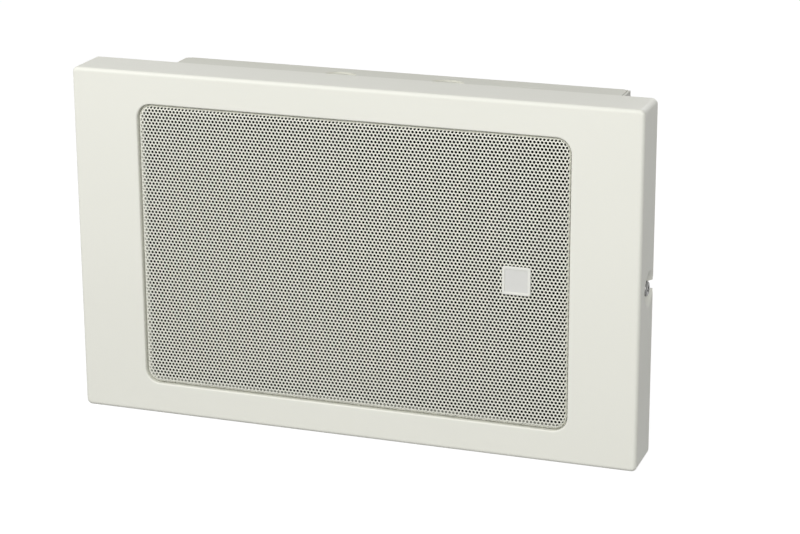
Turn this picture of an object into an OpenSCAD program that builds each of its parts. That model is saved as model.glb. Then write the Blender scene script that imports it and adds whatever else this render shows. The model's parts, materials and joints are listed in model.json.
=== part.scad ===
// Wall loudspeaker in a painted sheet-steel cabinet with a perforated grille.
// The wall face is the plane Y = 0, the front faces -Y and Z points up.

/* [Cabinet] */
// Width of the front cover
cabinet_w = 310; // [290:1:360]
// Height of the front cover
cabinet_h = 190; // [180:1:240]
// Depth from the wall to the front face
cabinet_d = 87; // [80:1:120]
// Depth of the front cover's rim
cover_d = 27; // [25:0.5:34]
// Sheet thickness of the front cover
cover_sheet = 1.2; // [0.8:0.1:1.5]
// Corner radius of the front cover's outline
cover_corner_r = 3; // [2.5:0.5:10]
// Outer radius of the fold round the front face
cover_edge_r = 2; // [1.6:0.1:2.4]

/* [Grille opening] */
// Width of the opening in the front face
opening_w = 236.4; // [200:0.2:244]
// Height of the opening in the front face
opening_h = 155.4; // [130:0.2:158]
// Corner radius of the opening
opening_r = 8; // [5:0.5:20]
// Radius of the opening's rolled edge
opening_edge_r = 2; // [1.6:0.1:2.4]
// Depth of the opening's rolled lip behind the front face
opening_lip = 5; // [4.5:0.1:8]

/* [Grille] */
// Sheet thickness of the grille
grille_sheet = 0.8; // [0.6:0.1:1]
// Gap between the grille and the opening all round
grille_gap = 0.4; // [0.2:0.1:1]
// Depth of the grille's face behind the front face
grille_recess = 0.5; // [0:0.1:1]
// Outer radius of the grille's bent edge
grille_edge_r = 2; // [1.2:0.1:2.4]
// Width of the grille's clamping flange
grille_flange = 6; // [4:0.5:8]
// Distance between neighbouring perforations
perforation_pitch = 9.6; // [8:0.1:14]
// Width of a perforation across its corners
perforation_w = 5.8; // [3:0.1:7]
// Plain margin between the perforations and the bent edge
perforation_margin = 0.8; // [0.5:0.1:4]

/* [Badge] */
// Side of the square badge
badge_side = 15; // [10:0.5:20]
// Thickness of the badge
badge_t = 0.8; // [0.6:0.1:1.5]
// Distance of the badge's centre from the grille's right edge
badge_from_edge = 27.7; // [15:0.1:60]
// Height of the badge's centre above the cabinet's middle
badge_up = 1.1; // [-30:0.1:30]
// Corner radius of the badge
badge_corner_r = 1; // [0.5:0.1:3]

/* [Baffle] */
// Thickness of the acoustic cloth
cloth_t = 0.3; // [0.2:0.1:1]
// Thickness of the baffle plate
baffle_sheet = 1.5; // [1:0.1:2]
// Gap between the baffle's edge and the cover's side walls
baffle_side_gap = 9; // [8:0.5:12]
// Gap between the baffle's edge and the cover's top and bottom walls
baffle_end_gap = 7; // [5:0.5:8]
// Corner radius of the baffle
baffle_corner_r = 5; // [2:0.5:10]
// Share of the way from the grille's flange to the baffle's edge at which the cover studs stand
stud_side_share = 0.55; // [0.45:0.05:0.6]
// Share of the opening's height between the cover studs
stud_span_share = 0.8; // [0.5:0.05:0.9]
// Radius of the M4 studs
stud_r = 2; // [1.5:0.1:2.5]
// Length of the cover studs
stud_len = 13; // [12:0.5:16]
// Width of the M4 nuts across their flats
nut_af = 7; // [6:0.5:9]
// Thickness of the M4 nuts
nut_t = 3.2; // [2:0.1:4]
// Running gap between a screw, stud or rivet and its hole
hole_gap = 0.25; // [0.1:0.05:0.5]

/* [Rear box] */
// Width of the rear box
box_w = 254; // [240:1:270]
// Height of the rear box
box_h = 168; // [160:1:174]
// Sheet thickness of the rear box
box_sheet = 1.2; // [0.8:0.1:1.5]
// Outer radius of the rear box's folds
box_edge_r = 2; // [1.8:0.1:3]
// Open seam at the rear box's corners
box_seam = 0.2; // [0.1:0.05:0.5]
// Radius of the relief holes at the rear box's corners
relief_r = 2.5; // [2:0.1:4]
// Distance of the rear box's open edge behind the front face
box_front = 19; // [17:0.5:21]

/* [Knockouts] */
// Radius of a conduit knockout
knockout_r = 10; // [8:0.5:12]
// Distance of the knockouts from the wall
knockout_y = 20; // [15:0.5:30]
// Distance between the two knockouts
knockout_span = 61; // [40:1:120]
// Width of the slit round a knockout
knockout_slit = 0.3; // [0.2:0.1:1]
// Depth that a knockout's disc is pressed in
knockout_sunk = 1; // [0.3:0.1:1]
// Width of a knockout's holding tabs
knockout_tab = 2.5; // [1.5:0.1:4]

/* [Wall fixing] */
// Distance between the wall screw holes across the box
wall_hole_x = 210; // [190:1:220]
// Distance between the wall screw holes up the box
wall_hole_z = 120; // [110:1:130]
// Radius of the wall screw holes
wall_hole_r = 2.75; // [2:0.25:4]

/* [Cable entry] */
// Distance of the cable entry from the middle, to the right
entry_x = 72; // [60:1:80]
// Distance of the cable entry below the middle
entry_down = 46; // [40:1:52]
// Radius of the cable's passage through the grommet
entry_r = 5; // [3:0.5:6]
// Radius of the hole that holds the grommet
entry_hole_r = 8; // [7:0.5:9]
// Radius of the recess pressed round the cable entry
recess_r = 14; // [12.5:0.5:16]
// Depth of the recess pressed round the cable entry
recess_d = 3; // [2.5:0.1:5]
// Thickness of the grommet's flanges
grommet_flange_t = 1.5; // [1:0.1:2]
// Width of the grommet's flanges
grommet_flange = 2.5; // [1.5:0.1:4]

/* [Side screws] */
// Distance of the side screws behind the front face
side_screw_back = 18.5; // [17.5:0.5:20]
// Distance of the side screws below the cabinet's middle
side_screw_down = 2; // [-5:0.5:5]
// Radius of the side screws' shank
side_screw_r = 2; // [1.5:0.1:2.5]
// Radius of the side screws' head
side_head_r = 4; // [3:0.1:4.5]
// Height of the side screws' head
side_head_h = 2.4; // [1.5:0.1:2.6]
// Length of the side screws under the head
side_screw_len = 9; // [8:0.5:14]
// Radius of the pressed dimple at the cover's surface
dimple_r = 9.5; // [8:0.1:11]
// Radius of the pressed dimple at its floor
dimple_floor_r = 5; // [4.5:0.1:6]
// Depth of the pressed dimple
dimple_d = 2.8; // [2:0.1:4]

/* [Cover brackets] */
// Sheet thickness of the brackets
bracket_sheet = 1.6; // [1.2:0.1:2.5]
// Height of the brackets
bracket_h = 24; // [18:1:40]
// Length of the bracket's foot along the box
bracket_foot = 20; // [14:1:24]
// Length of the bracket's tab in front of its web
bracket_tab = 10; // [9:0.5:10]
// Depth of the thread collar drawn out of the tab
collar_d = 1.5; // [1:0.1:3]
// Wall of the thread collar
collar_wall = 1.2; // [0.8:0.1:2]
// Distance of the bracket's web behind the side screw
web_back = 4.1; // [3.5:0.1:5]
// Radius of the rivets' shank
rivet_r = 1.6; // [1.2:0.1:2]
// Radius of the rivets' head
rivet_head_r = 3.2; // [2.5:0.1:4]
// Height of the rivets' heads
rivet_head_h = 1; // [0.6:0.1:1.5]

/* [Driver] */
// Radius of the driver's hole in the baffle
driver_hole_r = 52; // [51:0.5:53]
// Radius of the driver's round frame
frame_r = 62; // [61:0.5:64]
// Sheet thickness of the driver's basket
basket_sheet = 1.2; // [0.8:0.1:1.2]
// Distance of the driver's studs from its axis
driver_stud_pcr = 66; // [65:0.5:68]
// Radius of the ears round the driver's studs
ear_r = 6; // [5:0.5:8]
// Thickness of the gasket ring
gasket_t = 4; // [3.5:0.1:6]
// Radius of the surround's roll
roll_r = 3; // [2.5:0.1:3]
// Width of the cone's glued rim
rim_w = 2.8; // [2:0.1:4]
// Thickness of the surround and the spider
soft_t = 0.4; // [0.3:0.05:0.5]
// Thickness of the cone's paper, along the axis
cone_t = 0.8; // [0.6:0.1:1]
// Depth of the cone
cone_d = 17.6; // [16:0.1:17.8]
// Depth of the spider's shelf behind the frame's face
shelf_d = 20.2; // [20:0.1:24]
// Depth of the magnet's seat behind the spider's shelf
seat_d = 2.2; // [2:0.1:5]
// Radius of the dust cap
cap_r = 14; // [12:0.5:20]
// Height of the dust cap
cap_h = 4.5; // [3:0.1:6]
// Radius of the pole
pole_r = 9.15; // [8:0.05:9.5]
// Clearance on each side of the voice coil
coil_gap = 0.3; // [0.25:0.05:0.6]
// Thickness of the coil former
former_t = 0.25; // [0.2:0.05:0.4]
// Thickness of the wire on the former
wire_t = 0.35; // [0.2:0.05:0.5]
// Height of the voice coil
coil_h = 8; // [5:0.5:8]
// Radius of the top plate
plate_r = 30; // [29:0.5:34]
// Thickness of the top plate
plate_t = 4; // [3:0.5:6]
// Outer radius of the ring magnet
magnet_r = 36; // [32:0.5:45]
// Inner radius of the ring magnet
magnet_bore_r = 19; // [15:0.5:22]
// Thickness of the ring magnet
magnet_t = 10; // [8:0.5:14]
// Thickness of the yoke's plate
yoke_t = 4; // [3:0.5:6]

/* [Transformer] */
// Distance of the transformer from the middle, to the left
transformer_x = 92; // [85:1:94]
// Width of the lamination stack
core_w = 41; // [35:1:44]
// Height of the lamination stack above the back plate
core_h = 34; // [30:1:40]
// Thickness of the lamination stack
core_t = 16; // [12:1:20]
// Width of the core's middle leg
leg_w = 14; // [10:1:14]
// Width of each window in the core
window_w = 6.5; // [6:0.5:7]
// Thickness of the bobbin's walls
bobbin_t = 1; // [0.8:0.1:1.2]
// Sheet thickness of the transformer's strap
strap_t = 1; // [0.8:0.1:1.5]
// Length of the strap's feet
strap_foot = 10; // [9:0.5:10]

/* [Terminal block] */
// Distance of the terminal block from the middle, to the right
block_x = 98; // [94:1:102]
// Number of ways in the terminal block
block_ways = 3; // [2:1:4]
// Distance between the terminal block's ways
block_pitch = 10; // [9:0.5:12]
// Width of the terminal block
block_w = 18; // [16:1:22]
// Height of the terminal block
block_t = 12; // [10:0.5:16]
// Radius of the terminal screws
block_screw_r = 1.6; // [1.2:0.1:2]
// Length of the terminal block's fixing ears
block_ear = 7; // [6:0.5:10]

/* [Leads] */
// Radius of an insulated lead
lead_r = 0.9; // [0.6:0.1:1.2]

/* [Hidden] */
$fn = 64;
eps = 0.5;

// Heights in the drawing, where the cabinet lies on its back with its front face at zero
grille_z = -grille_recess;
lip_z = -opening_lip;
flange_back = lip_z - grille_sheet;
cloth_back = flange_back - cloth_t;
baffle_back = cloth_back - baffle_sheet;
box_open_z = -box_front;
wall_z = -cabinet_d;
plate_z = wall_z + box_sheet;
screw_z = -side_screw_back;

// Places across the front
cover_cx = cabinet_w / 2 - cover_corner_r;
cover_cy = cabinet_h / 2 - cover_corner_r;
opening_cx = opening_w / 2 - opening_r;
opening_cy = opening_h / 2 - opening_r;
baffle_w = cabinet_w - 2 * (cover_sheet + baffle_side_gap);
baffle_h = cabinet_h - 2 * (cover_sheet + baffle_end_gap);
flange_x = opening_w / 2 - grille_gap + grille_flange;
stud_x = flange_x + (baffle_w / 2 - flange_x) * stud_side_share;
stud_y = opening_h * stud_span_share / 2;
badge_x = opening_w / 2 - badge_from_edge;

// Places at the sides
box_side = box_w / 2;
box_flat_w = box_w - 2 * box_edge_r;
box_flat_h = box_h - 2 * box_edge_r;
dimple_floor_x = cabinet_w / 2 - dimple_d;
tab_x = dimple_floor_x - cover_sheet;
web_z = screw_z - web_back;
foot_end_z = web_z - bracket_foot;
rivet_y = bracket_h / 4;
rivet_z = web_z - bracket_sheet - bracket_foot / 2;

// Levels of the driver, measured back from the baffle's rear face
land_s = gasket_t + soft_t;
flange_s = land_s + basket_sheet;
shelf_s = land_s + shelf_d;
base_s = shelf_s + seat_d;
plate_s = base_s + basket_sheet;
magnet_s = plate_s + plate_t;
yoke_s = magnet_s + magnet_t;
former_r = pole_r + coil_gap;
wire_r = former_r + former_t;
coil_r = wire_r + wire_t;
gap_r = coil_r + coil_gap;
neck_r = wire_r + 0.05;
roll_c = driver_hole_r - 2;
cone_edge_r = roll_c - roll_r;
cone_rim_r = cone_edge_r - rim_w;
neck_s = land_s + cone_d;
coil_s = plate_s + plate_t / 2;
riser_r = plate_r - 3.4;
shelf_r = riser_r + 6.8;
spider_r = shelf_r - 0.4;
surround_r = frame_r - 3;
waves = 3;
wave_h = 1.1;
wave_in = neck_r + 2.3;
wave_out = riser_r + 0.4;
gasket_in_r = roll_c + roll_r + soft_t;
wall_r = driver_hole_r;

// Sizes of the tag strip
strip_w = 20;
strip_y = riser_r + 2.4;
strip_len = 15;
strip_t = 1.5;
strip_back = baffle_back - shelf_s - basket_sheet - strip_t;
tag_x = 6;
tag_t = 0.5;
tag_out = 7;

// Places of the transformer and the terminal block
window_h = core_h - leg_w;
strap_hole_x = core_w / 2 + strap_t + strap_foot / 2;
block_len = block_ways * block_pitch;
block_hole_y = block_len / 2 + block_ear / 2;
block_foot_t = 3;
way_top = 4;
lead_spread = 3.5;

// Moves the drawing from its back to the wall, with the front face looking along -Y
module stand_up() {
    translate([0, -cabinet_d, 0])
        rotate([90, 0, 0])
            children();
}

// Same piece on the right and on the left
module both_sides() {
    for (side = [0, 1])
        mirror([side, 0, 0])
            children();
}

module four_corners(x, y) {
    for (side = [0, 1], end = [0, 1])
        mirror([side, 0, 0])
            mirror([0, end, 0])
                translate([x, y, 0])
                    children();
}

module round_square(w, h, r) {
    square([w - 2 * r, h], center = true);
    square([w, h - 2 * r], center = true);
    for (x = [-1, 1], y = [-1, 1])
        translate([x * (w / 2 - r), y * (h / 2 - r)])
            circle(r);
}

// Carries a section, drawn outward from the corner's centre, round a rectangle with round corners
module frame_sweep(cx, cy) {
    four_corners(cx, cy)
        rotate_extrude(angle = 90)
            children();
    for (side = [0, 1])
        mirror([side, 0, 0])
            translate([cx, cy, 0])
                rotate([90, 0, 0])
                    linear_extrude(2 * cy)
                        children();
    for (end = [0, 1])
        mirror([0, end, 0])
            translate([-cx, cy, 0])
                rotate([90, 0, 90])
                    linear_extrude(2 * cx)
                        children();
}

// Quarter of a bent sheet: outer radius r, in the quadrant that the signs give
module bend_section(r, sheet, sx, sy) {
    intersection() {
        difference() {
            circle(r);
            circle(max(r - sheet, 0.2));
        }
        translate([sx < 0 ? -r : 0, sy < 0 ? -r : 0])
            square(r);
    }
}

module cover_fold_section() {
    translate([cover_corner_r - cover_edge_r, -cover_edge_r])
        bend_section(cover_edge_r, cover_sheet, 1, 1);
    translate([0, -cover_sheet])
        square([cover_corner_r - cover_edge_r, cover_sheet]);
    translate([cover_corner_r - cover_sheet, -cover_d])
        square([cover_sheet, cover_d - cover_edge_r]);
}

module opening_lip_section() {
    translate([opening_r + opening_edge_r, -opening_edge_r])
        bend_section(opening_edge_r, cover_sheet, -1, 1);
    translate([opening_r, lip_z])
        square([cover_sheet, opening_lip - opening_edge_r]);
}

module at_screw_height() {
    translate([0, -side_screw_down, 0])
        children();
}

// Space of the right side screw's dimple, with the floor and the slot left to other modules
module dimple_space() {
    slope = (dimple_r - dimple_floor_r) / dimple_d;
    translate([cabinet_w / 2 + eps, 0, screw_z])
        rotate([0, -90, 0])
            cylinder(h = dimple_d + eps, r1 = dimple_r + slope * eps, r2 = dimple_floor_r);
}

module dimple_back() {
    back_grow = 0.6;
    translate([cabinet_w / 2 - cover_sheet, 0, screw_z])
        rotate([0, -90, 0])
            cylinder(h = dimple_d, r1 = dimple_r + back_grow, r2 = dimple_floor_r + back_grow);
}

// Space behind the rim, which trims the dimple's open side
module behind_rim() {
    depth = 2 * dimple_d + cover_sheet;
    translate([cabinet_w / 2 - depth, -2 * dimple_r, -cover_d - 2 * dimple_r])
        cube([depth + eps, 4 * dimple_r, 2 * dimple_r]);
}

module side_slot() {
    slot_r = side_screw_r + hole_gap;
    translate([tab_x - eps, 0, screw_z])
        rotate([0, 90, 0])
            cylinder(h = dimple_d + cover_sheet + 2 * eps, r = slot_r);
    translate([tab_x - eps, -slot_r, -cover_d - eps])
        cube([dimple_d + cover_sheet + 2 * eps, 2 * slot_r, cover_d - side_screw_back + eps]);
}

module front_cover() {
    color([0.91, 0.91, 0.87])
        stand_up()
            difference() {
                union() {
                    frame_sweep(cover_cx, cover_cy)
                        cover_fold_section();
                    frame_sweep(opening_cx, opening_cy)
                        opening_lip_section();
                    translate([0, 0, -cover_sheet])
                        linear_extrude(cover_sheet)
                            difference() {
                                square([2 * cover_cx, 2 * cover_cy], center = true);
                                round_square(opening_w + 2 * opening_edge_r,
                                    opening_h + 2 * opening_edge_r, opening_r + opening_edge_r);
                            }
                    both_sides()
                        at_screw_height()
                            dimple_back();
                }
                both_sides()
                    at_screw_height() {
                        dimple_space();
                        side_slot();
                        behind_rim();
                    }
            }
}

module cover_studs() {
    color([0.75, 0.75, 0.74])
        stand_up()
            four_corners(stud_x, stud_y)
                translate([0, 0, -cover_sheet - stud_len])
                    cylinder(h = stud_len, r = stud_r);
}

module nut(af, t, hole_r) {
    difference() {
        cylinder(h = t, r = af / sqrt(3), $fn = 6);
        translate([0, 0, -eps])
            cylinder(h = t + 2 * eps, r = hole_r);
    }
}

module cover_nuts() {
    color([0.72, 0.72, 0.7])
        stand_up()
            four_corners(stud_x, stud_y)
                translate([0, 0, baffle_back - nut_t])
                    nut(nut_af, nut_t, stud_r + 0.05);
}

module grille_section() {
    outer = opening_r - grille_gap;
    translate([outer - grille_edge_r, grille_z - grille_edge_r])
        bend_section(grille_edge_r, grille_sheet, 1, 1);
    translate([0, grille_z - grille_sheet])
        square([outer - grille_edge_r, grille_sheet]);
    translate([outer - grille_sheet, flange_back])
        square([grille_sheet, grille_z - grille_edge_r - flange_back]);
    translate([outer - grille_sheet, flange_back])
        square([grille_sheet + grille_flange, grille_sheet]);
}

// Six-sided holes on a triangular lattice over the flat of the grille
module perforations() {
    hole_r = perforation_w / 2;
    flat = opening_r - grille_gap - grille_edge_r - perforation_margin - hole_r;
    half_w = opening_cx + flat;
    half_h = opening_cy + flat;
    row_step = perforation_pitch * sqrt(3) / 2;
    rows = floor(half_h / row_step);
    for (row = [-rows:rows]) {
        shift = row % 2 == 0 ? 0 : perforation_pitch / 2;
        columns = floor((half_w - shift) / perforation_pitch);
        first = shift == 0 ? -columns : -columns - 1;
        for (column = [first:columns])
            translate([column * perforation_pitch + shift, row * row_step])
                rotate(30)
                    circle(hole_r, $fn = 6);
    }
}

module grille() {
    color([0.9, 0.9, 0.87])
        stand_up() {
            frame_sweep(opening_cx, opening_cy)
                grille_section();
            translate([0, 0, grille_z - grille_sheet])
                linear_extrude(grille_sheet)
                    difference() {
                        square([2 * opening_cx, 2 * opening_cy], center = true);
                        perforations();
                    }
        }
}

module acoustic_cloth() {
    color([0.1, 0.1, 0.1])
        stand_up()
            translate([0, 0, cloth_back])
                linear_extrude(cloth_t)
                    round_square(opening_w + 2 * (grille_flange - grille_gap),
                        opening_h + 2 * (grille_flange - grille_gap), opening_r);
}

module badge() {
    color([0.84, 0.84, 0.82])
        stand_up()
            translate([badge_x, badge_up, grille_z])
                linear_extrude(badge_t)
                    round_square(badge_side, badge_side, badge_corner_r);
}

module baffle() {
    color([0.78, 0.78, 0.76])
        stand_up()
            translate([0, 0, baffle_back])
                linear_extrude(baffle_sheet)
                    difference() {
                        round_square(baffle_w, baffle_h, baffle_corner_r);
                        circle(driver_hole_r);
                        for (x = [-stud_x, stud_x], y = [-stud_y, stud_y])
                            translate([x, y])
                                circle(stud_r + hole_gap);
                    }
}

// Wall of the rear box, folded up from the back plate, drawn outward from the fold's centre
module box_fold_section() {
    translate([0, wall_z + box_edge_r])
        bend_section(box_edge_r, box_sheet, 1, -1);
    translate([box_edge_r - box_sheet, wall_z + box_edge_r])
        square([box_sheet, box_open_z - wall_z - box_edge_r]);
}

module knockout(cut) {
    translate([knockout_span / 2, box_h / 2, wall_z + knockout_y])
        rotate([90, 0, 0])
            if (cut)
                translate([0, 0, -eps])
                    cylinder(h = box_sheet + 2 * eps, r = knockout_r + knockout_slit);
            else {
                translate([0, 0, knockout_sunk])
                    cylinder(h = box_sheet, r = knockout_r);
                for (side = [-1, 1])
                    translate([side * (knockout_r + knockout_slit / 2) - knockout_slit - 0.3,
                        -knockout_tab / 2, knockout_sunk / 2])
                        cube([2 * knockout_slit + 0.6, knockout_tab, box_sheet]);
            }
}

// Round reliefs where the folds of the rear box meet
module corner_reliefs() {
    four_corners(box_w / 2 - box_edge_r / 2, box_h / 2 - box_edge_r / 2)
        translate([0, 0, wall_z - eps])
            cylinder(h = box_edge_r + 2 * eps, r = relief_r);
}

// Back plate, with the wall screw holes and the recess pressed round the cable entry
module box_back() {
    color([0.87, 0.87, 0.84])
        stand_up()
            difference() {
                union() {
                    translate([0, 0, wall_z])
                        linear_extrude(box_sheet)
                            square([box_flat_w, box_flat_h], center = true);
                    translate([entry_x, -entry_down, wall_z])
                        cylinder(h = recess_d + box_sheet, r = recess_r + box_sheet);
                }
                corner_reliefs();
                four_corners(wall_hole_x / 2, wall_hole_z / 2)
                    translate([0, 0, wall_z - eps])
                        cylinder(h = box_sheet + 2 * eps, r = wall_hole_r);
                translate([entry_x, -entry_down, wall_z - eps]) {
                    cylinder(h = recess_d + eps, r = recess_r);
                    cylinder(h = recess_d + box_sheet + 2 * eps, r = entry_hole_r);
                }
            }
}

// Upper wall of the rear box, from its fold to its open edge
module end_wall() {
    wall_len = box_w - 2 * (box_sheet + box_seam);
    translate([-wall_len / 2, box_flat_h / 2, 0])
        rotate([90, 0, 90])
            linear_extrude(wall_len)
                box_fold_section();
}

// Right wall of the rear box, from its fold to its open edge
module side_wall() {
    difference() {
        translate([box_flat_w / 2, box_h / 2 - box_seam, 0])
            rotate([90, 0, 0])
                linear_extrude(box_h - 2 * box_seam)
                    box_fold_section();
        corner_reliefs();
        at_screw_height()
            rivet_places()
                cylinder(h = 4 * box_sheet, r = rivet_r + hole_gap / 4, center = true);
    }
}

module box_top() {
    color([0.87, 0.87, 0.84])
        stand_up() {
            difference() {
                end_wall();
                both_sides()
                    knockout(true);
                corner_reliefs();
            }
            both_sides()
                knockout(false);
        }
}

module box_bottom() {
    color([0.87, 0.87, 0.84])
        stand_up()
            mirror([0, 1, 0])
                difference() {
                    end_wall();
                    corner_reliefs();
                }
}

module box_left() {
    color([0.87, 0.87, 0.84])
        stand_up()
            mirror([1, 0, 0])
                side_wall();
}

module box_right() {
    color([0.87, 0.87, 0.84])
        stand_up()
            side_wall();
}

// Two rivets through the box's side wall, with their axes pointing outward from its outer face
module rivet_places() {
    for (y = [-rivet_y, rivet_y])
        translate([box_side, y, rivet_z])
            rotate([0, 90, 0])
                children();
}

module cover_bracket() {
    outline = [
        [box_side, foot_end_z],
        [box_side + bracket_sheet, foot_end_z],
        [box_side + bracket_sheet, web_z - bracket_sheet],
        [tab_x, web_z - bracket_sheet],
        [tab_x, web_z + bracket_tab],
        [tab_x - bracket_sheet, web_z + bracket_tab],
        [tab_x - bracket_sheet, web_z],
        [box_side, web_z]
    ];
    difference() {
        union() {
            translate([0, bracket_h / 2, 0])
                rotate([90, 0, 0])
                    linear_extrude(bracket_h)
                        polygon(outline);
            translate([tab_x - bracket_sheet - collar_d, 0, screw_z])
                rotate([0, 90, 0])
                    cylinder(h = collar_d, r = side_screw_r + collar_wall);
        }
        translate([tab_x - bracket_sheet - collar_d - eps, 0, screw_z])
            rotate([0, 90, 0])
                cylinder(h = bracket_sheet + collar_d + 2 * eps, r = side_screw_r + 0.05);
        rivet_places()
            cylinder(h = 4 * bracket_sheet, r = rivet_r + hole_gap / 4, center = true);
    }
}

module cover_bracket_left() {
    color([0.78, 0.78, 0.76])
        stand_up()
            mirror([1, 0, 0])
                at_screw_height()
                    cover_bracket();
}

module cover_bracket_right() {
    color([0.78, 0.78, 0.76])
        stand_up()
            at_screw_height()
                cover_bracket();
}

module bracket_rivets() {
    color([0.8, 0.8, 0.8])
        stand_up()
            both_sides()
                at_screw_height()
                    rivet_places() {
                        translate([0, 0, bracket_sheet])
                            cylinder(h = rivet_head_h, r1 = rivet_head_r, r2 = rivet_head_r * 0.7);
                        translate([0, 0, -box_sheet])
                            cylinder(h = box_sheet + bracket_sheet, r = rivet_r);
                        translate([0, 0, -box_sheet - rivet_head_h])
                            cylinder(h = rivet_head_h, r = rivet_head_r * 0.75);
                    }
}

// Pan-head screw with a cross recess, head outward
module side_screw() {
    dome = [for (a = [0:15:90]) [side_head_r - 1 + sin(a), side_head_h - 1 + cos(a)]];
    recess_w = 1;
    recess_len = side_head_r * 1.1;
    recess_h = side_head_h * 0.6;
    translate([dimple_floor_x, 0, screw_z])
        rotate([0, 90, 0])
            difference() {
                union() {
                    rotate_extrude()
                        polygon(concat([[0, 0], [0, side_head_h]], dome, [[side_head_r, 0]]));
                    translate([0, 0, -side_screw_len])
                        cylinder(h = side_screw_len, r = side_screw_r);
                }
                for (turn = [0, 90])
                    rotate(turn + 20)
                        translate([-recess_len / 2, -recess_w / 2, side_head_h - recess_h])
                            cube([recess_len, recess_w, recess_h + eps]);
            }
}

module side_screw_left() {
    color([0.7, 0.7, 0.69])
        stand_up()
            mirror([1, 0, 0])
                at_screw_height()
                    side_screw();
}

module side_screw_right() {
    color([0.7, 0.7, 0.69])
        stand_up()
            at_screw_height()
                side_screw();
}

module cable_grommet() {
    groove_r = entry_hole_r - 0.05;
    flange_r = entry_hole_r + grommet_flange;
    back = wall_z + recess_d;
    front = back + box_sheet;
    color([0.12, 0.12, 0.12])
        stand_up()
            translate([entry_x, -entry_down, 0])
                rotate_extrude()
                    polygon([
                        [entry_r, back - grommet_flange_t],
                        [flange_r - 0.5, back - grommet_flange_t],
                        [flange_r, back],
                        [groove_r, back],
                        [groove_r, front],
                        [flange_r, front],
                        [flange_r - 0.5, front + grommet_flange_t],
                        [entry_r, front + grommet_flange_t]
                    ]);
}

// Turns a driver piece: points are [radius, distance behind the baffle's rear face]
module turned(points) {
    translate([0, 0, baffle_back])
        rotate_extrude()
            polygon([for (p = points) [p[0], -p[1]]]);
}

module driver_corners() {
    for (turn = [45:90:315])
        rotate(turn)
            translate([driver_stud_pcr, 0, baffle_back])
                children();
}

module frame_ear_outline() {
    for (turn = [45:90:315])
        rotate(turn) {
            translate([frame_r / 2, -ear_r])
                square([driver_stud_pcr - frame_r / 2, 2 * ear_r]);
            translate([driver_stud_pcr, 0])
                circle(ear_r);
        }
}

// Wedge-shaped window in the basket's sloping wall
module basket_window(inner, outer, half_angle) {
    linear_extrude(shelf_d, center = true)
        intersection() {
            difference() {
                circle(outer);
                circle(inner);
            }
            polygon([[0, 0], [2 * outer, -2 * outer * tan(half_angle)],
                [2 * outer, 2 * outer * tan(half_angle)]]);
        }
}

module basket() {
    t = basket_sheet;
    window_in = shelf_r + 3.6;
    window_out = wall_r - 1.5;
    window_half_angle = 21;
    color([0.25, 0.25, 0.26])
        stand_up()
            difference() {
                union() {
                    turned([
                        [frame_r, land_s],
                        [wall_r, land_s],
                        [wall_r, land_s + 5],
                        [shelf_r, shelf_s - 1],
                        [shelf_r, shelf_s],
                        [riser_r, shelf_s],
                        [riser_r, base_s],
                        [magnet_bore_r - 1, base_s],
                        [magnet_bore_r - 1, plate_s],
                        [riser_r + t, plate_s],
                        [riser_r + t, shelf_s + t],
                        [shelf_r + t, shelf_s + t],
                        [shelf_r + t, shelf_s - 0.6],
                        [wall_r + t, land_s + 5.4],
                        [wall_r + t, flange_s],
                        [frame_r, flange_s]
                    ]);
                    translate([0, 0, baffle_back - flange_s])
                        linear_extrude(t)
                            difference() {
                                frame_ear_outline();
                                circle(frame_r - 2);
                            }
                }
                driver_corners()
                    translate([0, 0, -flange_s - eps])
                        cylinder(h = t + 2 * eps, r = stud_r + hole_gap);
                for (turn = [30:60:330])
                    rotate(turn)
                        translate([0, 0, baffle_back - (land_s + shelf_s) / 2])
                            basket_window(window_in, window_out, window_half_angle);
            }
}

module driver_gasket() {
    color([0.15, 0.15, 0.15])
        stand_up()
            turned([
                [gasket_in_r, 0],
                [frame_r - 0.5, 0],
                [frame_r - 0.5, land_s],
                [surround_r + 0.2, land_s],
                [surround_r + 0.2, gasket_t],
                [gasket_in_r, gasket_t]
            ]);
}

module driver_studs() {
    color([0.75, 0.75, 0.74])
        stand_up()
            driver_corners() {
                translate([0, 0, -land_s])
                    cylinder(h = land_s, r = stud_r + 1);
                translate([0, 0, -flange_s - nut_t - 2])
                    cylinder(h = flange_s + nut_t + 2, r = stud_r);
            }
}

module driver_nuts() {
    color([0.72, 0.72, 0.7])
        stand_up()
            driver_corners()
                translate([0, 0, -flange_s - nut_t])
                    nut(nut_af, nut_t, stud_r + 0.05);
}

module surround() {
    color([0.13, 0.13, 0.13])
        stand_up()
            translate([0, 0, baffle_back - land_s])
                rotate_extrude() {
                    translate([roll_c, 0])
                        intersection() {
                            difference() {
                                circle(roll_r + soft_t / 2);
                                circle(roll_r - soft_t / 2);
                            }
                            translate([-2 * roll_r, 0])
                                square([4 * roll_r, 2 * roll_r]);
                        }
                    translate([cone_rim_r, 0])
                        square([cone_edge_r - cone_rim_r, soft_t]);
                    translate([roll_c + roll_r, 0])
                        square([surround_r - roll_c - roll_r, soft_t]);
                }
}

// Depth of the cone's front at a radius, steeper towards the neck
function cone_s(r) = land_s + cone_d * pow((cone_rim_r - r) / (cone_rim_r - neck_r), 1.15);

module cone() {
    rings = 10;
    radii = [for (i = [0:rings]) cone_rim_r + (neck_r - cone_rim_r) * i / rings];
    color([0.16, 0.16, 0.16])
        stand_up()
            turned(concat(
                [[cone_edge_r, land_s]],
                [for (r = radii) [r, cone_s(r)]],
                [for (i = [rings:-1:0]) [radii[i], cone_s(radii[i]) + cone_t]],
                [[cone_edge_r, land_s + cone_t]]
            ));
}

// Meridian of a dome, from its middle to its edge
function dome_line(radius, height, top_s, steps) = [for (i = [0:steps])
    [radius * sin(90 * i / steps), top_s + height * (1 - cos(90 * i / steps))]];

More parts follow.
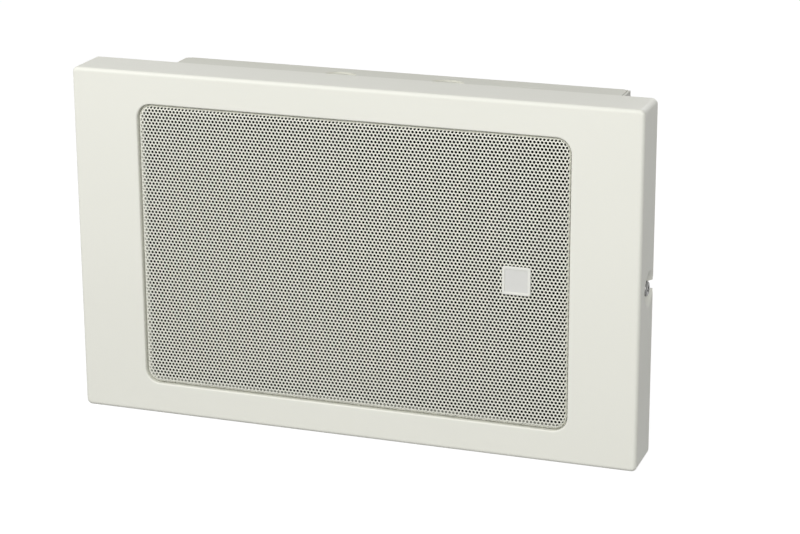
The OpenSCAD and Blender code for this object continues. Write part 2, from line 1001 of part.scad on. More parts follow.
module dust_cap() {
    steps = 8;
    foot = 0.8;
    shell = 0.4;
    glue = 0.05;
    rise = cap_h - shell;
    top_s = cone_s(cap_r) - cap_h;
    inside = dome_line(cap_r - shell, rise, top_s + shell, steps);
    color([0.12, 0.12, 0.12])
        stand_up()
            turned(concat(
                dome_line(cap_r, rise, top_s, steps),
                [
                    [cap_r + foot, cone_s(cap_r + foot) - glue - shell],
                    [cap_r + foot, cone_s(cap_r + foot) - glue],
                    [cap_r - shell, cone_s(cap_r - shell) - glue]
                ],
                [for (i = [steps - 1:-1:0]) inside[i]]
            ));
}

// Depth of the spider's front at a radius, in three even waves
function spider_s(r) = shelf_s - soft_t
    + (r > wave_in && r < wave_out ? wave_h * sin(360 * waves * (r - wave_in) / (wave_out - wave_in)) : 0);

module spider() {
    steps = 8 * waves;
    radii = concat([neck_r], [for (i = [0:steps]) wave_in + (wave_out - wave_in) * i / steps], [spider_r]);
    last = len(radii) - 1;
    color([0.72, 0.6, 0.36])
        stand_up()
            turned(concat(
                [for (r = radii) [r, spider_s(r)]],
                [for (i = [last:-1:0]) [radii[i], spider_s(radii[i]) + soft_t]]
            ));
}

module coil_former() {
    color([0.7, 0.55, 0.35])
        stand_up()
            turned([
                [former_r, neck_s - 1.5],
                [wire_r, neck_s - 1.5],
                [wire_r, coil_s + coil_h / 2 + 0.5],
                [former_r, coil_s + coil_h / 2 + 0.5]
            ]);
}

module voice_coil() {
    color([0.72, 0.4, 0.2])
        stand_up()
            turned([
                [wire_r, coil_s - coil_h / 2],
                [coil_r, coil_s - coil_h / 2],
                [coil_r, coil_s + coil_h / 2],
                [wire_r, coil_s + coil_h / 2]
            ]);
}

module top_plate() {
    color([0.7, 0.7, 0.68])
        stand_up()
            turned([[gap_r, plate_s], [plate_r, plate_s], [plate_r, magnet_s], [gap_r, magnet_s]]);
}

module magnet() {
    color([0.2, 0.2, 0.21])
        stand_up()
            turned([
                [magnet_bore_r, magnet_s],
                [magnet_r, magnet_s],
                [magnet_r, yoke_s],
                [magnet_bore_r, yoke_s]
            ]);
}

module yoke() {
    vent_r = pole_r / 3;
    color([0.7, 0.7, 0.68])
        stand_up()
            turned([
                [vent_r, plate_s],
                [pole_r, plate_s],
                [pole_r, yoke_s],
                [magnet_r - 2, yoke_s],
                [magnet_r - 2, yoke_s + yoke_t - 1],
                [magnet_r - 3, yoke_s + yoke_t],
                [vent_r, yoke_s + yoke_t]
            ]);
}

module tag_strip() {
    color([0.45, 0.28, 0.16])
        stand_up()
            translate([-strip_w / 2, strip_y, strip_back])
                cube([strip_w, strip_len, strip_t]);
}

module solder_tags() {
    tag_w = 3;
    tag_len = 12;
    color([0.8, 0.78, 0.7])
        stand_up()
            for (x = [-tag_x, tag_x])
                translate([x - tag_w / 2, strip_y + strip_len + tag_out - tag_len, strip_back - tag_t])
                    cube([tag_w, tag_len, tag_t]);
}

module at_transformer() {
    stand_up()
        translate([-transformer_x, 0, plate_z])
            children();
}

module transformer_core() {
    color([0.35, 0.35, 0.36])
        at_transformer()
            difference() {
                translate([-core_w / 2, -core_t / 2, 0])
                    cube([core_w, core_t, core_h]);
                for (side = [-1, 1])
                    translate([side * (leg_w + window_w) / 2 - window_w / 2, -core_t / 2 - eps, leg_w / 2])
                        cube([window_w, core_t + 2 * eps, window_h]);
            }
}

// Rectangular sleeve round the core's middle leg
module leg_sleeve(inner, outer, bottom, top) {
    difference() {
        translate([-leg_w / 2 - outer, -core_t / 2 - outer, bottom])
            cube([leg_w + 2 * outer, core_t + 2 * outer, top - bottom]);
        translate([-leg_w / 2 - inner, -core_t / 2 - inner, bottom - eps])
            cube([leg_w + 2 * inner, core_t + 2 * inner, top - bottom + 2 * eps]);
    }
}

module transformer_bobbin() {
    low = leg_w / 2 + 0.2;
    high = low + window_h - 0.4;
    rim = window_w - 0.3;
    color([0.9, 0.9, 0.86])
        at_transformer() {
            leg_sleeve(0.2, bobbin_t, low, high);
            leg_sleeve(0.2, rim, low, low + bobbin_t);
            leg_sleeve(0.2, rim, high - bobbin_t, high);
        }
}

module transformer_winding() {
    low = leg_w / 2 + 0.2 + bobbin_t;
    high = low + window_h - 0.4 - 2 * bobbin_t;
    color([0.85, 0.7, 0.2])
        at_transformer()
            leg_sleeve(bobbin_t, window_w - 0.8, low, high);
}

module transformer_strap() {
    outline = [
        [-strap_hole_x - strap_foot / 2, 0],
        [-core_w / 2, 0],
        [-core_w / 2, core_h],
        [core_w / 2, core_h],
        [core_w / 2, 0],
        [strap_hole_x + strap_foot / 2, 0],
        [strap_hole_x + strap_foot / 2, strap_t],
        [core_w / 2 + strap_t, strap_t],
        [core_w / 2 + strap_t, core_h + strap_t],
        [-core_w / 2 - strap_t, core_h + strap_t],
        [-core_w / 2 - strap_t, strap_t],
        [-strap_hole_x - strap_foot / 2, strap_t]
    ];
    color([0.7, 0.7, 0.68])
        at_transformer()
            difference() {
                translate([0, core_t / 2 - 1, 0])
                    rotate([90, 0, 0])
                        linear_extrude(core_t - 2)
                            polygon(outline);
                for (x = [-strap_hole_x, strap_hole_x])
                    translate([x, 0, -eps])
                        cylinder(h = strap_t + 2 * eps, r = stud_r + hole_gap);
            }
}

// The four studs that hold the transformer and the terminal block
module box_stud_places() {
    for (x = [-transformer_x - strap_hole_x, -transformer_x + strap_hole_x])
        translate([x, 0, plate_z])
            children();
    for (y = [-block_hole_y, block_hole_y])
        translate([block_x, y, plate_z])
            children();
}

module box_studs() {
    color([0.75, 0.75, 0.74])
        stand_up()
            box_stud_places()
                cylinder(h = block_foot_t + nut_t + 2, r = stud_r);
}

module box_nuts() {
    color([0.72, 0.72, 0.7])
        stand_up() {
            for (x = [-transformer_x - strap_hole_x, -transformer_x + strap_hole_x])
                translate([x, 0, plate_z + strap_t])
                    nut(nut_af, nut_t, stud_r + 0.05);
            for (y = [-block_hole_y, block_hole_y])
                translate([block_x, y, plate_z + block_foot_t])
                    nut(nut_af, nut_t, stud_r + 0.05);
        }
}

module block_ways_places() {
    for (way = [0:block_ways - 1])
        translate([0, (way - (block_ways - 1) / 2) * block_pitch, 0])
            children();
}

module terminal_block() {
    well_r = block_screw_r + 0.8;
    color([0.85, 0.84, 0.8])
        stand_up()
            translate([block_x, 0, plate_z])
                difference() {
                    union() {
                        translate([-block_w / 2, -block_len / 2, 0])
                            cube([block_w, block_len, block_t]);
                        translate([-block_w / 4, -block_len / 2 - block_ear, 0])
                            cube([block_w / 2, block_len + 2 * block_ear, block_foot_t]);
                    }
                    for (y = [-block_hole_y, block_hole_y])
                        translate([0, y, -eps])
                            cylinder(h = block_foot_t + 2 * eps, r = stud_r + hole_gap);
                    block_ways_places() {
                        translate([-block_w / 2 - eps, 0, block_t - way_top - 2])
                            rotate([0, 90, 0])
                                cylinder(h = block_w + 2 * eps, r = 1.8);
                        for (x = [-block_w / 4, block_w / 4])
                            translate([x, 0, block_t - way_top])
                                cylinder(h = way_top + eps, r = well_r);
                    }
                }
}

module terminal_screws() {
    color([0.78, 0.76, 0.7])
        stand_up()
            translate([block_x, 0, plate_z + block_t - way_top])
                block_ways_places()
                    for (x = [-block_w / 4, block_w / 4])
                        translate([x, 0, 0])
                            difference() {
                                cylinder(h = way_top - 1, r = block_screw_r + 0.5);
                                translate([-block_screw_r - 1, -0.3, way_top - 1.8])
                                    cube([2 * block_screw_r + 2, 0.6, 1]);
                            }
}

// Smooth curve through the points, with steps on each stretch
function bend_point(a, b, c, d, t) = 0.5 * (2 * b + (c - a) * t + (2 * a - 5 * b + 4 * c - d) * t * t
    + (3 * b - a - 3 * c + d) * t * t * t);
function smooth_route(p, steps) = let (last = len(p) - 1) concat(
    [for (i = [0:last - 1], k = [0:steps - 1])
        bend_point(p[max(i - 1, 0)], p[i], p[i + 1], p[min(i + 2, last)], k / steps)],
    [p[last]]);
function unit(v) = v / norm(v);
function heading(p, i) = unit(p[min(i + 1, len(p) - 1)] - p[max(i - 1, 0)]);

// Tube of eight sides along a route
module lead(points, r) {
    sides = 8;
    route = smooth_route(points, 5);
    count = len(route);
    rings = [for (i = [0:count - 1])
        let (along = heading(route, i),
            across = unit(cross(along, [0.3, 0.2, 0.93])),
            over = cross(across, along))
        for (s = [0:sides - 1]) route[i] + r * (cos(360 * s / sides) * across + sin(360 * s / sides) * over)];
    walls = [for (i = [0:count - 2], s = [0:sides - 1])
        let (a = i * sides + s, b = i * sides + (s + 1) % sides)
        [a, b, b + sides, a + sides]];
    start = [for (s = [sides - 1:-1:0]) s];
    finish = [for (s = [0:sides - 1]) (count - 1) * sides + s];
    polyhedron(points = rings, faces = concat(walls, [start, finish]), convexity = 4);
}

module input_leads() {
    low = plate_z + 3;
    bobbin_z = plate_z + leg_w / 2 + 2;
    block_z = plate_z + block_t - way_top - 2;
    start_y = core_t / 2 + window_w;
    color([0.75, 0.1, 0.1])
        stand_up()
            for (side = [-1, 1])
                lead([
                    [block_x - block_w / 2 + 3, side * block_pitch * (block_ways - 1) / 2, block_z],
                    [block_x - block_w / 2 - 6, side * block_pitch * (block_ways - 1) / 2, block_z],
                    [70, side * lead_spread, low],
                    [40, side * lead_spread, low],
                    [0, side * lead_spread, low],
                    [-40, side * lead_spread, low],
                    [-transformer_x + core_w / 2 + strap_foot + 8, side * (start_y - 2), low + 3],
                    [-transformer_x + 16, side * (start_y + 4), bobbin_z],
                    [-transformer_x + 5, side * (start_y + 1.2), bobbin_z]
                ], lead_r);
}

module output_leads() {
    top = plate_z + leg_w / 2 + window_h - 1;
    tag_y = strip_y + strip_len;
    tag_z = strip_back - tag_t - lead_r - 0.2;
    start_y = core_t / 2 + window_w;
    color([0.15, 0.15, 0.15])
        stand_up()
            for (side = [-1, 1])
                lead([
                    [-transformer_x - side * lead_spread, start_y + 1.2, top - 6],
                    [-transformer_x - side * lead_spread, start_y + 7, top - 5],
                    [-transformer_x + 10, start_y + 17 + side * 2, top - 1],
                    [-transformer_x + 32, start_y + 27 + side * 2, top + 2],
                    [-30, tag_y + 10 + side * 2, tag_z - 7],
                    [-16, tag_y + 11 + side * 3, tag_z - 5],
                    [side * tag_x - 2, tag_y + 8, tag_z - 3],
                    [side * tag_x, tag_y + 4, tag_z - 0.8],
                    [side * tag_x, tag_y + 1, tag_z]
                ], lead_r);
}

front_cover();
cover_studs();
cover_nuts();
grille();
acoustic_cloth();
badge();
baffle();
box_back();
box_top();
box_bottom();
box_left();
box_right();
cover_bracket_left();
cover_bracket_right();
bracket_rivets();
side_screw_left();
side_screw_right();
cable_grommet();
basket();
driver_gasket();
driver_studs();
driver_nuts();
surround();
cone();
dust_cap();
spider();
coil_former();
voice_coil();
top_plate();
magnet();
yoke();
tag_strip();
solder_tags();
transformer_core();
transformer_bobbin();
transformer_winding();
transformer_strap();
box_studs();
box_nuts();
terminal_block();
terminal_screws();
input_leads();
output_leads();
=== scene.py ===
import json
import math

import bmesh
import bpy
from mathutils import Matrix, Vector
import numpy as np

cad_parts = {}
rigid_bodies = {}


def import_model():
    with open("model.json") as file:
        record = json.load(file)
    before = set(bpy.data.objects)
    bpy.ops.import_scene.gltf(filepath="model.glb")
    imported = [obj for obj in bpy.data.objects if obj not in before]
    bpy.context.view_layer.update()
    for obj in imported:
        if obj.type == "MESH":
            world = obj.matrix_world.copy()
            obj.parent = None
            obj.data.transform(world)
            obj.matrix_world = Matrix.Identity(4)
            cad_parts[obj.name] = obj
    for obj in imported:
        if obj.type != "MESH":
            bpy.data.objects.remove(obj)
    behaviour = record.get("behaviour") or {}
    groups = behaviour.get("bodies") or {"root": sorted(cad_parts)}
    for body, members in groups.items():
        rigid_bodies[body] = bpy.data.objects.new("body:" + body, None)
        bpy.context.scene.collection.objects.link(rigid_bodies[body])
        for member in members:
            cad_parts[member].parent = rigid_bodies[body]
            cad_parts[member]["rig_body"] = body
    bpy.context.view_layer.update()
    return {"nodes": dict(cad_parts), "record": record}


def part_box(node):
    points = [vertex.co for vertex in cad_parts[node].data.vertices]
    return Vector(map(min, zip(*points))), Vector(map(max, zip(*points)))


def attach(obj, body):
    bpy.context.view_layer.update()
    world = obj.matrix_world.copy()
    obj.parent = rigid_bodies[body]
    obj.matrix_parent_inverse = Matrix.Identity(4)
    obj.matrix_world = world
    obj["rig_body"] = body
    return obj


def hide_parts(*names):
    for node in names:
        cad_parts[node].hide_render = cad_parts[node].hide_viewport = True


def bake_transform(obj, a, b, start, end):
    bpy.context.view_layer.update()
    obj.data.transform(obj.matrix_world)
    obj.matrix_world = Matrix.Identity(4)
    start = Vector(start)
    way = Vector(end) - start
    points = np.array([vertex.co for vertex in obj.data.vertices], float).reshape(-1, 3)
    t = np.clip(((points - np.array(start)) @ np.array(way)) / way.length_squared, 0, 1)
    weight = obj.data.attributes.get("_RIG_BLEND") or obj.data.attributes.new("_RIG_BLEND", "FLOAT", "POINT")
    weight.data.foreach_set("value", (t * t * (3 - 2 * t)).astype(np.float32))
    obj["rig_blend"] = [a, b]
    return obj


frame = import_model()
NODES = frame["nodes"]
MM = 0.001
ENCLOSURE = "enclosure"
DIAPHRAGM = "diaphragm"

# Front cover: its box comes from the frame, the rest are the sheet's own sizes
COVER_LOW, COVER_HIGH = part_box("front_cover")
COVER_HALF_W = COVER_HIGH.x
COVER_HALF_H = COVER_HIGH.z
FRONT_Y = COVER_LOW.y
COVER_DEPTH = COVER_HIGH.y - COVER_LOW.y
COVER_SHEET = 1.2 * MM
COVER_CORNER = 3 * MM
COVER_FOLD = 2 * MM
OPENING_HALF_W = 118.2 * MM
OPENING_HALF_H = 77.7 * MM
OPENING_CORNER = 8 * MM
OPENING_ROLL = 0.8 * MM
OPENING_LIP = 5 * MM

# Grille: its perforated face is thinner than its plain edge, so that its holes look as open as they are
GRILLE_LOW, GRILLE_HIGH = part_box("grille")
GRILLE_GAP = 0.8 * MM
GRILLE_SHEET = 0.8 * MM
GRILLE_BEND = 2 * MM
PERFORATED_SHEET = 0.4 * MM
HOLE_PITCH = 2.0 * MM
HOLE_RADIUS = 0.79 * MM
HOLE_SIDES = 8

# Side screws, and the pressed dimples that they sit in
SCREW_LOW, SCREW_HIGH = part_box("side_screw_right")
SCREW_FROM_FRONT = 18.5 * MM
SCREW_Y = FRONT_Y + SCREW_FROM_FRONT
SCREW_Z = (SCREW_LOW.z + SCREW_HIGH.z) / 2
DIMPLE_RADIUS = 9.5 * MM
DIMPLE_FLOOR = 5 * MM
DIMPLE_DEPTH = 2.8 * MM
SLOT_RADIUS = 2.25 * MM

# Driver: where the surround's roll and the spider's waves start and end, from the axis out
SURROUND_ROLL = (47 * MM, 53 * MM)
SPIDER_LAND = 6 * MM
SPIDER_WAVES = (12 * MM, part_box("spider")[1].x - SPIDER_LAND)

# Meshes: steps in a quarter of a round corner, and the distance at which two corners are one
CORNER_STEPS = 8
SAME_POINT = 0.001 * MM
ON_PLANE = 1e-7

# Studio: the floor's grey, what is added to it where it is seen, the light from all round, and the lamps' aim
FLOOR_GREY = 0.2
FLOOR_LIFT = 0.92
SURROUNDING_LIGHT = 0.3
LAMP_AIM = Vector((0, -0.05, 0))


# Small tools for meshes

def finish_mesh(bm, name, smooth_angle=35):
    """Makes the bmesh an object at the origin, smooth where its faces meet gently."""
    mesh = bpy.data.meshes.new(name)
    for face in bm.faces:
        face.smooth = True
    bm.to_mesh(mesh)
    bm.free()
    mesh.set_sharp_from_angle(angle=math.radians(smooth_angle))
    piece = bpy.data.objects.new(name, mesh)
    bpy.context.scene.collection.objects.link(piece)
    return piece


def add_to_part(piece, material, replaces, body=ENCLOSURE):
    """Gives the piece its finish and its body, and hides the nodes that it replaces."""
    piece.data.materials.clear()
    piece.data.materials.append(material)
    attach(piece, body)
    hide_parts(*replaces)


def start_ring(bm):
    """Ring of points that remember the corner they belong to and the way they face from its centre."""
    bmesh.ops.create_grid(bm, x_segments=1, y_segments=1, size=1)
    bmesh.ops.bevel(bm, geom=bm.verts[:], offset=0.5, offset_type="OFFSET", segments=CORNER_STEPS,
                    profile=0.5, affect="VERTICES", material=-1)
    bmesh.ops.delete(bm, geom=bm.faces[:], context="FACES_ONLY")
    corner = bm.verts.layers.float_vector.new("corner")
    way = bm.verts.layers.float_vector.new("way")
    for vert in bm.verts:
        vert[corner] = (math.copysign(1, vert.co.x), math.copysign(1, vert.co.y), 0)
        vert[way] = 2 * vert.co - vert[corner]
    return bm.verts[:], bm.edges[:]


def place_ring(bm, verts, middle, half_w, half_h, radius, depth):
    """Moves a ring onto a rectangle with round corners, standing depth behind its middle."""
    corner = bm.verts.layers.float_vector["corner"]
    way = bm.verts.layers.float_vector["way"]
    for vert in verts:
        vert.co = (middle.x + vert[corner].x * (half_w - radius) + vert[way].x * radius,
                   middle.y + depth,
                   middle.z + vert[corner].y * (half_h - radius) + vert[way].y * radius)


def sweep_rings(bm, middle, profile):
    """Skin over rings: the profile's steps are (half width, half height, corner radius, depth)."""
    verts, edges = start_ring(bm)
    place_ring(bm, verts, middle, *profile[0])
    for step in profile[1:]:
        made = bmesh.ops.extrude_edge_only(bm, edges=edges)["geom"]
        verts = [g for g in made if isinstance(g, bmesh.types.BMVert)]
        edges = [g for g in made if isinstance(g, bmesh.types.BMEdge)]
        place_ring(bm, verts, middle, *step)


def swept_frame(profile):
    """Closed sheet-metal frame round the cover's opening."""
    bm = bmesh.new()
    sweep_rings(bm, Vector((0, FRONT_Y, 0)), profile + profile[:1])
    bmesh.ops.remove_doubles(bm, verts=bm.verts, dist=SAME_POINT)
    bmesh.ops.recalc_face_normals(bm, faces=bm.faces)
    return bm


def swept_plate(middle, profile):
    """Closed plate whose first and last rings are filled."""
    bm = bmesh.new()
    sweep_rings(bm, middle, profile)
    bmesh.ops.holes_fill(bm, edges=bm.edges[:], sides=0)
    bmesh.ops.recalc_face_normals(bm, faces=bm.faces)
    return bm


def quarter_turn(radius, steps):
    """Points of a quarter of a circle, as two distances: each goes between 0 and the radius."""
    for step in range(steps + 1):
        angle = math.pi / 2 * step / steps
        yield radius * (1 - math.cos(angle)), radius * (1 - math.sin(angle))


def smooth_copy(node):
    """Copy of a CAD node's mesh with its loose triangles merged, so that it shades smoothly."""
    bm = bmesh.new()
    bm.from_mesh(NODES[node].data)
    bmesh.ops.remove_doubles(bm, verts=bm.verts, dist=SAME_POINT)
    bmesh.ops.dissolve_limit(bm, angle_limit=math.radians(0.5), verts=bm.verts, edges=bm.edges)
    return finish_mesh(bm, node + "_finished", 30)


def cut_with(piece, cutter):
    """Takes the cutter's shape out of the piece and removes the cutter."""
    modifier = piece.modifiers.new("cut", "BOOLEAN")
    modifier.operation = "DIFFERENCE"
    modifier.solver = "EXACT"
    modifier.object = cutter
    cut = bpy.data.meshes.new_from_object(piece.evaluated_get(bpy.context.evaluated_depsgraph_get()))
    piece.modifiers.clear()
    piece.data = cut
    bpy.data.objects.remove(cutter)


# Materials

def socket_group(name, inputs, outputs):
    """Empty shader group with named sockets, and its start and end nodes."""
    group = bpy.data.node_groups.new(name, "ShaderNodeTree")
    for label, kind, value in inputs:
        socket = group.interface.new_socket(label, in_out="INPUT", socket_type=kind)
        socket.default_value = value
    for label, kind in outputs:
        group.interface.new_socket(label, in_out="OUTPUT", socket_type=kind)
    return group, group.nodes.new("NodeGroupInput"), group.nodes.new("NodeGroupOutput")


def powder_paint_group():
    """Even powder paint: a faint mottle in its colour and gloss, and a fine orange-peel height."""
    group, start, end = socket_group(
        "powder_paint",
        [("Colour", "NodeSocketColor", (0.8, 0.8, 0.75, 1)), ("Mottle", "NodeSocketFloat", 0.03),
         ("Gloss", "NodeSocketFloat", 0.4), ("Peel", "NodeSocketFloat", 900.0)],
        [("Colour", "NodeSocketColor"), ("Roughness", "NodeSocketFloat"), ("Height", "NodeSocketFloat")])
    nodes, links = group.nodes, group.links
    place = nodes.new("ShaderNodeTexCoord")
    broad = nodes.new("ShaderNodeTexNoise")
    broad.inputs["Scale"].default_value = 14
    broad.inputs["Detail"].default_value = 3
    fine = nodes.new("ShaderNodeTexNoise")
    fine.inputs["Detail"].default_value = 2
    links.new(place.outputs["Object"], broad.inputs["Vector"])
    links.new(place.outputs["Object"], fine.inputs["Vector"])
    links.new(start.outputs["Peel"], fine.inputs["Scale"])
    centred = nodes.new("ShaderNodeMath")
    centred.operation = "SUBTRACT"
    centred.inputs[1].default_value = 0.5
    links.new(broad.outputs["Fac"], centred.inputs[0])
    swing = nodes.new("ShaderNodeMath")
    swing.operation = "MULTIPLY_ADD"
    swing.inputs[2].default_value = 1.0
    links.new(centred.outputs[0], swing.inputs[0])
    links.new(start.outputs["Mottle"], swing.inputs[1])
    tint = nodes.new("ShaderNodeVectorMath")
    tint.operation = "SCALE"
    links.new(start.outputs["Colour"], tint.inputs[0])
    links.new(swing.outputs[0], tint.inputs["Scale"])
    links.new(tint.outputs["Vector"], end.inputs["Colour"])
    gloss = nodes.new("ShaderNodeMath")
    gloss.operation = "MULTIPLY_ADD"
    gloss.inputs[1].default_value = 0.12
    links.new(centred.outputs[0], gloss.inputs[0])
    links.new(start.outputs["Gloss"], gloss.inputs[2])
    links.new(gloss.outputs[0], end.inputs["Roughness"])
    links.new(fine.outputs["Fac"], end.inputs["Height"])
    return group


def weave_group():
    """Plain weave: threads across and along, with their height and a mask that is dark between them."""
    group, start, end = socket_group(
        "plain_weave", [("Threads", "NodeSocketFloat", 1500.0)],
        [("Height", "NodeSocketFloat"), ("Shade", "NodeSocketFloat")])
    nodes, links = group.nodes, group.links
    place = nodes.new("ShaderNodeTexCoord")
    waves = []
    for direction in ("X", "Z"):
        wave = nodes.new("ShaderNodeTexWave")
        wave.bands_direction = direction
        links.new(place.outputs["Object"], wave.inputs["Vector"])
        links.new(start.outputs["Threads"], wave.inputs["Scale"])
        waves.append(wave)
    weave = nodes.new("ShaderNodeMath")
    weave.operation = "MULTIPLY"
    links.new(waves[0].outputs["Fac"], weave.inputs[0])
    links.new(waves[1].outputs["Fac"], weave.inputs[1])
    links.new(weave.outputs[0], end.inputs["Height"])
    shade = nodes.new("ShaderNodeMath")
    shade.operation = "MULTIPLY_ADD"
    shade.inputs[1].default_value = 0.6
    shade.inputs[2].default_value = 0.4
    links.new(weave.outputs[0], shade.inputs[0])
    links.new(shade.outputs[0], end.inputs["Shade"])
    return group


def streak_group():
    """Drawn or plated metal: fine streaks in its gloss and height, and clouds in its colour."""
    group, start, end = socket_group(
        "metal_streaks",
        [("Colour", "NodeSocketColor", (0.6, 0.6, 0.6, 1)), ("Roughness", "NodeSocketFloat", 0.3),
         ("Stretch", "NodeSocketVector", (200.0, 200.0, 2000.0))],
        [("Colour", "NodeSocketColor"), ("Roughness", "NodeSocketFloat"), ("Height", "NodeSocketFloat")])
    nodes, links = group.nodes, group.links
    place = nodes.new("ShaderNodeTexCoord")
    stretch = nodes.new("ShaderNodeVectorMath")
    stretch.operation = "MULTIPLY"
    links.new(place.outputs["Object"], stretch.inputs[0])
    links.new(start.outputs["Stretch"], stretch.inputs[1])
    streaks = nodes.new("ShaderNodeTexNoise")
    streaks.inputs["Scale"].default_value = 1
    streaks.inputs["Detail"].default_value = 4
    links.new(stretch.outputs["Vector"], streaks.inputs["Vector"])
    clouds = nodes.new("ShaderNodeTexNoise")
    clouds.inputs["Scale"].default_value = 120
    links.new(place.outputs["Object"], clouds.inputs["Vector"])
    shade = nodes.new("ShaderNodeMapRange")
    shade.inputs["To Min"].default_value = 0.82
    shade.inputs["To Max"].default_value = 1.12
    links.new(clouds.outputs["Fac"], shade.inputs["Value"])
    tint = nodes.new("ShaderNodeVectorMath")
    tint.operation = "SCALE"
    links.new(start.outputs["Colour"], tint.inputs[0])
    links.new(shade.outputs["Result"], tint.inputs["Scale"])
    links.new(tint.outputs["Vector"], end.inputs["Colour"])
    gloss = nodes.new("ShaderNodeMath")
    gloss.operation = "MULTIPLY_ADD"
    gloss.inputs[1].default_value = 0.25
    links.new(streaks.outputs["Fac"], gloss.inputs[0])
    links.new(start.outputs["Roughness"], gloss.inputs[2])
    links.new(gloss.outputs[0], end.inputs["Roughness"])
    links.new(streaks.outputs["Fac"], end.inputs["Height"])
    return group


POWDER_PAINT = powder_paint_group()
PLAIN_WEAVE = weave_group()
METAL_STREAKS = streak_group()


def plain_material(name):
    """Node material with its Principled shader."""
    material = bpy.data.materials.new(name)
    material.use_nodes = True
    nodes = material.node_tree.nodes
    return material, nodes, material.node_tree.links, nodes["Principled BSDF"]


def place_group(nodes, group, **values):
    """Places a group in a material with that material's own values."""
    node = nodes.new("ShaderNodeGroup")
    node.node_tree = group
    for label, value in values.items():
        node.inputs[label].default_value = value
    return node


def bump_from(nodes, links, shader, height, distance):
    """Relief whose height from lowest to highest is the distance."""
    bump = nodes.new("ShaderNodeBump")
    bump.inputs["Distance"].default_value = distance
    bump.inputs["Strength"].default_value = 1
    links.new(height, bump.inputs["Height"])
    links.new(bump.outputs["Normal"], shader.inputs["Normal"])


def painted_steel(name, colour, gloss=0.4, mottle=0.03, peel=900.0, height=0.00002):
    material, nodes, links, shader = plain_material(name)
    paint = place_group(nodes, POWDER_PAINT, Colour=(*colour, 1), Mottle=mottle, Gloss=gloss, Peel=peel)
    links.new(paint.outputs["Colour"], shader.inputs["Base Color"])
    links.new(paint.outputs["Roughness"], shader.inputs["Roughness"])
    shader.inputs["Specular IOR Level"].default_value = 0.2
    bump_from(nodes, links, shader, paint.outputs["Height"], height)
    return material


def plated_metal(name, colour, roughness=0.25, stretch=(200.0, 200.0, 2000.0), height=0.000005):
    material, nodes, links, shader = plain_material(name)
    metal = place_group(nodes, METAL_STREAKS, Colour=(*colour, 1), Roughness=roughness, Stretch=stretch)
    shader.inputs["Metallic"].default_value = 1
    links.new(metal.outputs["Colour"], shader.inputs["Base Color"])
    links.new(metal.outputs["Roughness"], shader.inputs["Roughness"])
    bump_from(nodes, links, shader, metal.outputs["Height"], height)
    return material


def woven_cloth(name, colour, threads=1500.0, height=0.0001):
    material, nodes, links, shader = plain_material(name)
    weave = place_group(nodes, PLAIN_WEAVE, Threads=threads)
    tint = nodes.new("ShaderNodeVectorMath")
    tint.operation = "SCALE"
    tint.inputs[0].default_value = colour
    links.new(weave.outputs["Shade"], tint.inputs["Scale"])
    links.new(tint.outputs["Vector"], shader.inputs["Base Color"])
    shader.inputs["Roughness"].default_value = 0.9
    shader.inputs["Specular IOR Level"].default_value = 0.2
    bump_from(nodes, links, shader, weave.outputs["Height"], height)
    return material


FRONT_PAINT = painted_steel("cream_powder_paint", (0.83, 0.83, 0.755))
GRILLE_PAINT = painted_steel("cream_grille_paint", (0.83, 0.83, 0.745), gloss=0.42)
BADGE_PAINT = painted_steel("badge_paint", (0.81, 0.81, 0.76), gloss=0.3, peel=2500.0)
PANEL_PAINT = painted_steel("badge_panel_paint", (0.71, 0.71, 0.68), gloss=0.3, peel=2500.0)
MATERIALS = {
    "front_paint": FRONT_PAINT,
    "grille_paint": GRILLE_PAINT,
    "box_paint": painted_steel("cream_box_paint", (0.745, 0.745, 0.665), gloss=0.45),
    "badge_metal": BADGE_PAINT,
    "cloth": woven_cloth("black_cloth", (0.014, 0.013, 0.009)),
    "baffle_steel": painted_steel("baffle_paint", (0.72, 0.72, 0.67), gloss=0.5),
    "zinc": plated_metal("zinc_plate", (0.5, 0.52, 0.54), 0.3),
    # The screws' steel is darker than plated steel: painted shade for the shaded rims of their heads
    "screw_steel": plated_metal("screw_plate_painted_shade", (0.2, 0.2, 0.195), 0.14, (1500.0, 300.0, 300.0)),
    "black_rubber": painted_steel("moulded_rubber", (0.02, 0.02, 0.02), gloss=0.7, peel=1800.0),
    "basket_steel": painted_steel("basket_paint", (0.03, 0.03, 0.03), gloss=0.5),
    "cone_paper": painted_steel("pressed_paper", (0.03, 0.03, 0.03), gloss=0.85, peel=2500.0, height=0.0001),
    "spider_cloth": woven_cloth("resin_cloth", (0.55, 0.42, 0.18)),
    "former_paper": painted_steel("wound_paper", (0.45, 0.3, 0.15), gloss=0.8, peel=2000.0),
    "coil_wire": plated_metal("enamelled_wire", (0.72, 0.35, 0.16), 0.25, (100.0, 6000.0, 100.0)),
    "plated_iron": plated_metal("plated_iron", (0.6, 0.6, 0.58), 0.35),
    "ferrite": painted_steel("ground_ferrite", (0.05, 0.05, 0.055), gloss=0.55, peel=3000.0),
    "strip_board": painted_steel("laminated_board", (0.3, 0.14, 0.06), gloss=0.45, peel=1500.0),
    "tag_brass": plated_metal("tinned_brass", (0.7, 0.66, 0.5), 0.3),
    "core_iron": plated_metal("laminations", (0.2, 0.2, 0.21), 0.4, (50.0, 50.0, 4000.0), 0.00005),
    "bobbin_plastic": painted_steel("bobbin_moulding", (0.8, 0.8, 0.74), gloss=0.4, peel=1500.0),
    "winding_tape": painted_steel("winding_tape", (0.75, 0.55, 0.08), gloss=0.25, peel=400.0),
    "block_plastic": painted_steel("block_moulding", (0.78, 0.76, 0.7), gloss=0.4, peel=1500.0),
    "red_lead": painted_steel("red_insulation", (0.55, 0.03, 0.03), gloss=0.4, peel=1500.0),
    "black_lead": painted_steel("black_insulation", (0.03, 0.03, 0.03), gloss=0.4, peel=1500.0),
}


